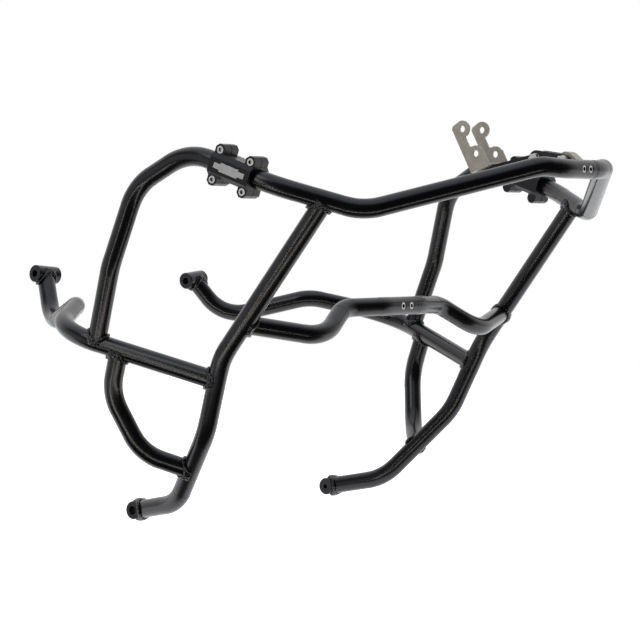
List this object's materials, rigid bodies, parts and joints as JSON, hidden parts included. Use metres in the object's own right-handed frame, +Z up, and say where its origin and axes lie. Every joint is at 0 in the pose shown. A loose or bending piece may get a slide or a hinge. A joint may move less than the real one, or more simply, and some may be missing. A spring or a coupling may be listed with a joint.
{
  "type": "motorcycle crash bars",
  "caption": "Pair of bent-tube motorcycle crash bars joined on the centre plane by screwed half-lap couplers, with a rail clamp on each side and a plated front mounting bracket.",
  "frame": {"origin": "middle of the line between the two lower holes of the front bracket, on the centre plane", "axes": "+X forward, +Y to the rider's left along the bracket's lower holes, +Z up"},
  "size_m": [0.8559, 0.7586, 0.5545],
  "materials": {
    "black_powder_coat": "gloss",
    "black_cast_metal": "satin",
    "stainless_steel": "satin",
    "nameplate_metal": "satin",
    "zinc_plated_steel": "satin"
  },
  "bodies": {
    "root": {"right_upper_rail": "black_powder_coat", "left_upper_rail": "black_powder_coat", "right_mid_rail": "black_powder_coat", "left_mid_rail": "black_powder_coat", "right_down_tube": "black_powder_coat", "left_down_tube": "black_powder_coat", "right_lower_loop": "black_powder_coat", "left_lower_loop": "black_powder_coat", "right_cross_bar": "black_powder_coat", "left_cross_bar": "black_powder_coat", "right_rear_bush": "black_powder_coat", "left_rear_bush": "black_powder_coat", "right_foot_bush": "black_powder_coat", "left_foot_bush": "black_powder_coat", "right_weld_beads": "black_powder_coat", "left_weld_beads": "black_powder_coat", "right_clamp_outer": "black_cast_metal", "left_clamp_outer": "black_cast_metal", "right_clamp_inner": "black_cast_metal", "left_clamp_inner": "black_cast_metal", "right_clamp_screws": "stainless_steel", "left_clamp_screws": "stainless_steel", "right_clamp_plate": "nameplate_metal", "left_clamp_plate": "nameplate_metal", "right_upper_coupler": "black_powder_coat", "left_upper_coupler": "black_powder_coat", "right_lower_coupler": "black_powder_coat", "left_lower_coupler": "black_powder_coat", "upper_coupler_screws": "stainless_steel", "lower_coupler_screws": "stainless_steel", "front_bracket": "zinc_plated_steel", "bracket_block": "black_powder_coat", "bracket_screw": "stainless_steel", "right_link_plate": "black_powder_coat", "left_link_plate": "black_powder_coat", "nose_lug": "zinc_plated_steel", "link_bolts": "stainless_steel", "link_nuts": "stainless_steel", "link_washers": "stainless_steel"}
  },
  "joints": []
}
